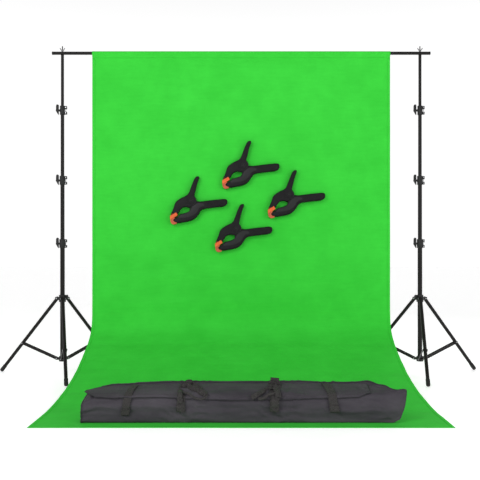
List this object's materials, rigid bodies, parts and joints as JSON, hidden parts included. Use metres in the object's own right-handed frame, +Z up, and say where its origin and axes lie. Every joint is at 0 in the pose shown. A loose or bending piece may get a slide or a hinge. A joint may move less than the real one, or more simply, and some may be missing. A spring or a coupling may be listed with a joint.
{
  "type": "background support system",
  "caption": "Portable studio backdrop: folding tripod stands with telescoping poles carry a sleeved crossbar and a hanging cloth that sweeps over the floor, with spring clamps and a carry bag.",
  "frame": {"origin": "middle of the bounding box in X and Y, at floor level", "axes": "+X along the crossbar to the right of someone facing the cloth, +Y away from them, +Z up"},
  "size_m": [3.899, 2.1278, 2.612],
  "materials": {
    "backdrop_sweep": "vivid green woven cloth",
    "bag_body": "charcoal woven nylon",
    "left_column": "satin black paint",
    "left_brace_collar": "matt black moulding",
    "left_lock_collar_1": "matt black moulding",
    "right_column": "satin black paint",
    "right_brace_collar": "matt black moulding",
    "right_lock_collar_1": "matt black moulding",
    "crossbar_left": "satin black paint",
    "crossbar_right": "satin black paint",
    "backdrop_drop": "vivid green woven cloth",
    "left_riser_1": "satin black paint",
    "left_lock_collar_2": "matt black moulding",
    "left_riser_2": "satin black paint",
    "left_lock_collar_3": "matt black moulding",
    "left_riser_3": "satin black paint",
    "left_leg_collar": "matt black moulding",
    "left_leg_1": "satin black paint",
    "left_brace_1": "satin black paint",
    "left_leg_2": "satin black paint",
    "left_brace_2": "satin black paint",
    "left_leg_3": "satin black paint",
    "left_brace_3": "satin black paint",
    "left_leg_knob": "matt black moulding",
    "left_lock_knob_1": "matt black moulding",
    "left_lock_knob_2": "matt black moulding",
    "left_lock_knob_3": "matt black moulding",
    "left_wing_nut": "bright plating",
    "right_riser_1": "satin black paint",
    "right_lock_collar_2": "matt black moulding",
    "right_riser_2": "satin black paint",
    "right_lock_collar_3": "matt black moulding",
    "right_riser_3": "satin black paint",
    "right_leg_collar": "matt black moulding",
    "right_leg_1": "satin black paint",
    "right_brace_1": "satin black paint",
    "right_leg_2": "satin black paint",
    "right_brace_2": "satin black paint",
    "right_leg_3": "satin black paint",
    "right_brace_3": "satin black paint",
    "right_leg_knob": "matt black moulding",
    "right_lock_knob_1": "matt black moulding",
    "right_lock_knob_2": "matt black moulding",
    "right_lock_knob_3": "matt black moulding",
    "right_wing_nut": "bright plating",
    "clamp_a_lower_arm": "textured black nylon",
    "clamp_a_upper_arm": "textured black nylon",
    "clamp_a_pad": "orange soft pad",
    "clamp_b_lower_arm": "textured black nylon",
    "clamp_b_upper_arm": "textured black nylon",
    "clamp_b_pad": "orange soft pad",
    "clamp_c_lower_arm": "textured black nylon",
    "clamp_c_upper_arm": "textured black nylon",
    "clamp_c_pad": "orange soft pad",
    "clamp_d_lower_arm": "textured black nylon",
    "clamp_d_upper_arm": "textured black nylon",
    "clamp_d_pad": "orange soft pad",
    "bag_flap": "charcoal woven nylon"
  },
  "bodies": {
    "base": {"backdrop_sweep": "backdrop_sweep", "bag_body": "bag_body", "left_column": "left_column", "left_brace_collar": "left_brace_collar", "left_lock_collar_1": "left_lock_collar_1", "right_column": "right_column", "right_brace_collar": "right_brace_collar", "right_lock_collar_1": "right_lock_collar_1"},
    "crossbar": {"crossbar_left": "crossbar_left", "crossbar_right": "crossbar_right", "backdrop_drop": "backdrop_drop"},
    "left_riser_1": {"left_riser_1": "left_riser_1", "left_lock_collar_2": "left_lock_collar_2"},
    "left_riser_2": {"left_riser_2": "left_riser_2", "left_lock_collar_3": "left_lock_collar_3"},
    "left_riser_3": {"left_riser_3": "left_riser_3"},
    "left_leg_collar": {"left_leg_collar": "left_leg_collar"},
    "left_leg_1": {"left_leg_1": "left_leg_1"},
    "left_brace_1": {"left_brace_1": "left_brace_1"},
    "left_leg_2": {"left_leg_2": "left_leg_2"},
    "left_brace_2": {"left_brace_2": "left_brace_2"},
    "left_leg_3": {"left_leg_3": "left_leg_3"},
    "left_brace_3": {"left_brace_3": "left_brace_3"},
    "left_leg_knob": {"left_leg_knob": "left_leg_knob"},
    "left_lock_knob_1": {"left_lock_knob_1": "left_lock_knob_1"},
    "left_lock_knob_2": {"left_lock_knob_2": "left_lock_knob_2"},
    "left_lock_knob_3": {"left_lock_knob_3": "left_lock_knob_3"},
    "left_wing_nut": {"left_wing_nut": "left_wing_nut"},
    "right_riser_1": {"right_riser_1": "right_riser_1", "right_lock_collar_2": "right_lock_collar_2"},
    "right_riser_2": {"right_riser_2": "right_riser_2", "right_lock_collar_3": "right_lock_collar_3"},
    "right_riser_3": {"right_riser_3": "right_riser_3"},
    "right_leg_collar": {"right_leg_collar": "right_leg_collar"},
    "right_leg_1": {"right_leg_1": "right_leg_1"},
    "right_brace_1": {"right_brace_1": "right_brace_1"},
    "right_leg_2": {"right_leg_2": "right_leg_2"},
    "right_brace_2": {"right_brace_2": "right_brace_2"},
    "right_leg_3": {"right_leg_3": "right_leg_3"},
    "right_brace_3": {"right_brace_3": "right_brace_3"},
    "right_leg_knob": {"right_leg_knob": "right_leg_knob"},
    "right_lock_knob_1": {"right_lock_knob_1": "right_lock_knob_1"},
    "right_lock_knob_2": {"right_lock_knob_2": "right_lock_knob_2"},
    "right_lock_knob_3": {"right_lock_knob_3": "right_lock_knob_3"},
    "right_wing_nut": {"right_wing_nut": "right_wing_nut"},
    "clamp_a": {"clamp_a_lower_arm": "clamp_a_lower_arm"},
    "clamp_a_jaw": {"clamp_a_upper_arm": "clamp_a_upper_arm", "clamp_a_pad": "clamp_a_pad"},
    "clamp_b": {"clamp_b_lower_arm": "clamp_b_lower_arm"},
    "clamp_b_jaw": {"clamp_b_upper_arm": "clamp_b_upper_arm", "clamp_b_pad": "clamp_b_pad"},
    "clamp_c": {"clamp_c_lower_arm": "clamp_c_lower_arm"},
    "clamp_c_jaw": {"clamp_c_upper_arm": "clamp_c_upper_arm", "clamp_c_pad": "clamp_c_pad"},
    "clamp_d": {"clamp_d_lower_arm": "clamp_d_lower_arm"},
    "clamp_d_jaw": {"clamp_d_upper_arm": "clamp_d_upper_arm", "clamp_d_pad": "clamp_d_pad"},
    "bag_flap": {"bag_flap": "bag_flap"}
  },
  "joints": [
    {"name": "crossbar_height", "type": "slide", "parent": "base", "child": "crossbar", "axis": [0, 0, 1], "range_m": [-1.1, 0], "deforming": ["backdrop_drop"]},
    {"name": "left_riser_1_slide", "type": "slide", "parent": "base", "child": "left_riser_1", "axis": [0, 0, 1], "range_m": [-0.36767, 0]},
    {"name": "left_riser_2_slide", "type": "slide", "parent": "left_riser_1", "child": "left_riser_2", "axis": [0, 0, 1], "range_m": [-0.36767, 0]},
    {"name": "left_riser_3_slide", "type": "slide", "parent": "left_riser_2", "child": "left_riser_3", "axis": [0, 0, 1], "range_m": [-0.36767, 0]},
    {"name": "left_leg_fold", "type": "slide", "parent": "base", "child": "left_leg_collar", "axis": [0, 0, 1], "range_m": [0, 0.31]},
    {"name": "left_leg_1_hinge", "type": "hinge", "parent": "left_leg_collar", "child": "left_leg_1", "pos_m": [-1.39823, 0.61302, 0.603], "axis": [0.9563, 0.2924, 0], "range_deg": [0, 32.42]},
    {"name": "left_brace_1_hinge", "type": "hinge", "parent": "base", "child": "left_brace_1", "pos_m": [-1.39823, 0.61302, 0.124], "axis": [-0.9563, -0.2924, 0], "range_deg": [0, 58.31]},
    {"name": "left_leg_2_hinge", "type": "hinge", "parent": "left_leg_collar", "child": "left_leg_2", "pos_m": [-1.3807, 0.68896, 0.603], "axis": [-0.7314, 0.682, 0], "range_deg": [0, 32.42]},
    {"name": "left_brace_2_hinge", "type": "hinge", "parent": "base", "child": "left_brace_2", "pos_m": [-1.3807, 0.68896, 0.124], "axis": [0.7314, -0.682, 0], "range_deg": [0, 58.31]},
    {"name": "left_leg_3_hinge", "type": "hinge", "parent": "left_leg_collar", "child": "left_leg_3", "pos_m": [-1.45523, 0.66617, 0.603], "axis": [-0.225, -0.9744, 0], "range_deg": [0, 32.42]},
    {"name": "left_brace_3_hinge", "type": "hinge", "parent": "base", "child": "left_brace_3", "pos_m": [-1.45523, 0.66617, 0.124], "axis": [0.225, 0.9744, 0], "range_deg": [0, 58.31]},
    {"name": "left_leg_knob_turn", "type": "hinge", "parent": "left_leg_collar", "child": "left_leg_knob", "pos_m": [-1.37728, 0.64818, 0.621], "axis": [0.9744, -0.225, 0], "range_deg": [0, 180]},
    {"name": "left_lock_knob_1_turn", "type": "hinge", "parent": "base", "child": "left_lock_knob_1", "pos_m": [-1.45138, 0.65605, 1.04], "axis": [-1, 0, 0], "range_deg": [0, 180]},
    {"name": "left_lock_knob_2_turn", "type": "hinge", "parent": "left_riser_1", "child": "left_lock_knob_2", "pos_m": [-1.45138, 0.65605, 1.543], "axis": [-1, 0, 0], "range_deg": [0, 180]},
    {"name": "left_lock_knob_3_turn", "type": "hinge", "parent": "left_riser_2", "child": "left_lock_knob_3", "pos_m": [-1.45138, 0.65605, 2.101], "axis": [-1, 0, 0], "range_deg": [0, 180]},
    {"name": "left_wing_nut_turn", "type": "hinge", "parent": "crossbar", "child": "left_wing_nut", "pos_m": [-1.41138, 0.65605, 2.58], "axis": [0, 0, 1], "continuous": true},
    {"name": "right_riser_1_slide", "type": "slide", "parent": "base", "child": "right_riser_1", "axis": [0, 0, 1], "range_m": [-0.36767, 0]},
    {"name": "right_riser_2_slide", "type": "slide", "parent": "right_riser_1", "child": "right_riser_2", "axis": [0, 0, 1], "range_m": [-0.36767, 0]},
    {"name": "right_riser_3_slide", "type": "slide", "parent": "right_riser_2", "child": "right_riser_3", "axis": [0, 0, 1], "range_m": [-0.36767, 0]},
    {"name": "right_leg_fold", "type": "slide", "parent": "base", "child": "right_leg_collar", "axis": [0, 0, 1], "range_m": [0, 0.31]},
    {"name": "right_leg_1_hinge", "type": "hinge", "parent": "right_leg_collar", "child": "right_leg_1", "pos_m": [1.43035, 0.61149, 0.603], "axis": [0.9903, -0.1392, 0], "range_deg": [0, 32.42]},
    {"name": "right_brace_1_hinge", "type": "hinge", "parent": "base", "child": "right_brace_1", "pos_m": [1.43035, 0.61149, 0.124], "axis": [-0.9903, 0.1392, 0], "range_deg": [0, 58.31]},
    {"name": "right_leg_2_hinge", "type": "hinge", "parent": "right_leg_collar", "child": "right_leg_2", "pos_m": [1.47834, 0.67291, 0.603], "axis": [-0.3746, 0.9272, 0], "range_deg": [0, 32.42]},
    {"name": "right_brace_2_hinge", "type": "hinge", "parent": "base", "child": "right_brace_2", "pos_m": [1.47834, 0.67291, 0.124], "axis": [0.3746, -0.9272, 0], "range_deg": [0, 58.31]},
    {"name": "right_leg_3_hinge", "type": "hinge", "parent": "right_leg_collar", "child": "right_leg_3", "pos_m": [1.40115, 0.68376, 0.603], "axis": [-0.6157, -0.788, 0], "range_deg": [0, 32.42]},
    {"name": "right_brace_3_hinge", "type": "hinge", "parent": "base", "child": "right_brace_3", "pos_m": [1.40115, 0.68376, 0.124], "axis": [0.6157, 0.788, 0], "range_deg": [0, 58.31]},
    {"name": "right_leg_knob_turn", "type": "hinge", "parent": "right_leg_collar", "child": "right_leg_knob", "pos_m": [1.40416, 0.64294, 0.621], "axis": [-0.9272, -0.3746, 0], "range_deg": [0, 180]},
    {"name": "right_lock_knob_1_turn", "type": "hinge", "parent": "base", "child": "right_lock_knob_1", "pos_m": [1.39661, 0.65605, 1.04], "axis": [-1, 0, 0], "range_deg": [0, 180]},
    {"name": "right_lock_knob_2_turn", "type": "hinge", "parent": "right_riser_1", "child": "right_lock_knob_2", "pos_m": [1.39661, 0.65605, 1.543], "axis": [-1, 0, 0], "range_deg": [0, 180]},
    {"name": "right_lock_knob_3_turn", "type": "hinge", "parent": "right_riser_2", "child": "right_lock_knob_3", "pos_m": [1.39661, 0.65605, 2.101], "axis": [-1, 0, 0], "range_deg": [0, 180]},
    {"name": "right_wing_nut_turn", "type": "hinge", "parent": "crossbar", "child": "right_wing_nut", "pos_m": [1.43661, 0.65605, 2.58], "axis": [0, 0, 1], "continuous": true},
    {"name": "clamp_a_ride", "type": "slide", "parent": "base", "child": "clamp_a", "axis": [0, 0, 1], "range_m": [-0.463, 0]},
    {"name": "clamp_a_open", "type": "hinge", "parent": "clamp_a", "child": "clamp_a_jaw", "pos_m": [-0.38338, 0.62805, 1.38], "axis": [0, 1, 0], "range_deg": [0, 26], "stiffness_Nm_per_rad": 3, "springref_deg": -34.38},
    {"name": "clamp_b_ride", "type": "slide", "parent": "base", "child": "clamp_b", "axis": [0, 0, 1], "range_m": [-0.463, 0]},
    {"name": "clamp_b_open", "type": "hinge", "parent": "clamp_b", "child": "clamp_b_jaw", "pos_m": [0.02862, 0.62805, 1.661], "axis": [0, 1, 0], "range_deg": [0, 26], "stiffness_Nm_per_rad": 3, "springref_deg": -34.38},
    {"name": "clamp_c_ride", "type": "slide", "parent": "base", "child": "clamp_c", "axis": [0, 0, 1], "range_m": [-0.463, 0]},
    {"name": "clamp_c_open", "type": "hinge", "parent": "clamp_c", "child": "clamp_c_jaw", "pos_m": [0.38961, 0.62805, 1.429], "axis": [0, 1, 0], "range_deg": [0, 26], "stiffness_Nm_per_rad": 3, "springref_deg": -34.38},
    {"name": "clamp_d_ride", "type": "slide", "parent": "base", "child": "clamp_d", "axis": [0, 0, 1], "range_m": [-0.463, 0]},
    {"name": "clamp_d_open", "type": "hinge", "parent": "clamp_d", "child": "clamp_d_jaw", "pos_m": [-0.02839, 0.62805, 1.161], "axis": [0, 1, 0], "range_deg": [0, 26], "stiffness_Nm_per_rad": 3, "springref_deg": -34.38},
    {"name": "bag_flap_hinge", "type": "hinge", "parent": "base", "child": "bag_flap", "pos_m": [0.01261, -0.79795, 0.197], "axis": [-1, 0, 0], "range_deg": [0, 95]}
  ],
  "couplings": [
    {"joint": "left_riser_1_slide", "follows": "crossbar_height", "ratio": 0.33333},
    {"joint": "left_riser_2_slide", "follows": "crossbar_height", "ratio": 0.33333},
    {"joint": "left_riser_3_slide", "follows": "crossbar_height", "ratio": 0.33333},
    {"joint": "left_leg_1_hinge", "follows": "left_leg_fold", "rad_per_m": 1.8227},
    {"joint": "left_brace_1_hinge", "follows": "left_leg_fold", "rad_per_m": 3.28},
    {"joint": "left_leg_2_hinge", "follows": "left_leg_fold", "rad_per_m": 1.8227},
    {"joint": "left_brace_2_hinge", "follows": "left_leg_fold", "rad_per_m": 3.28},
    {"joint": "left_leg_3_hinge", "follows": "left_leg_fold", "rad_per_m": 1.8227},
    {"joint": "left_brace_3_hinge", "follows": "left_leg_fold", "rad_per_m": 3.28},
    {"joint": "right_riser_1_slide", "follows": "crossbar_height", "ratio": 0.33333},
    {"joint": "right_riser_2_slide", "follows": "crossbar_height", "ratio": 0.33333},
    {"joint": "right_riser_3_slide", "follows": "crossbar_height", "ratio": 0.33333},
    {"joint": "right_leg_1_hinge", "follows": "right_leg_fold", "rad_per_m": 1.8227},
    {"joint": "right_brace_1_hinge", "follows": "right_leg_fold", "rad_per_m": 3.28},
    {"joint": "right_leg_2_hinge", "follows": "right_leg_fold", "rad_per_m": 1.8227},
    {"joint": "right_brace_2_hinge", "follows": "right_leg_fold", "rad_per_m": 3.28},
    {"joint": "right_leg_3_hinge", "follows": "right_leg_fold", "rad_per_m": 1.8227},
    {"joint": "right_brace_3_hinge", "follows": "right_leg_fold", "rad_per_m": 3.28},
    {"joint": "clamp_a_ride", "follows": "crossbar_height", "ratio": 0.42},
    {"joint": "clamp_b_ride", "follows": "crossbar_height", "ratio": 0.42},
    {"joint": "clamp_c_ride", "follows": "crossbar_height", "ratio": 0.42},
    {"joint": "clamp_d_ride", "follows": "crossbar_height", "ratio": 0.42}
  ]
}
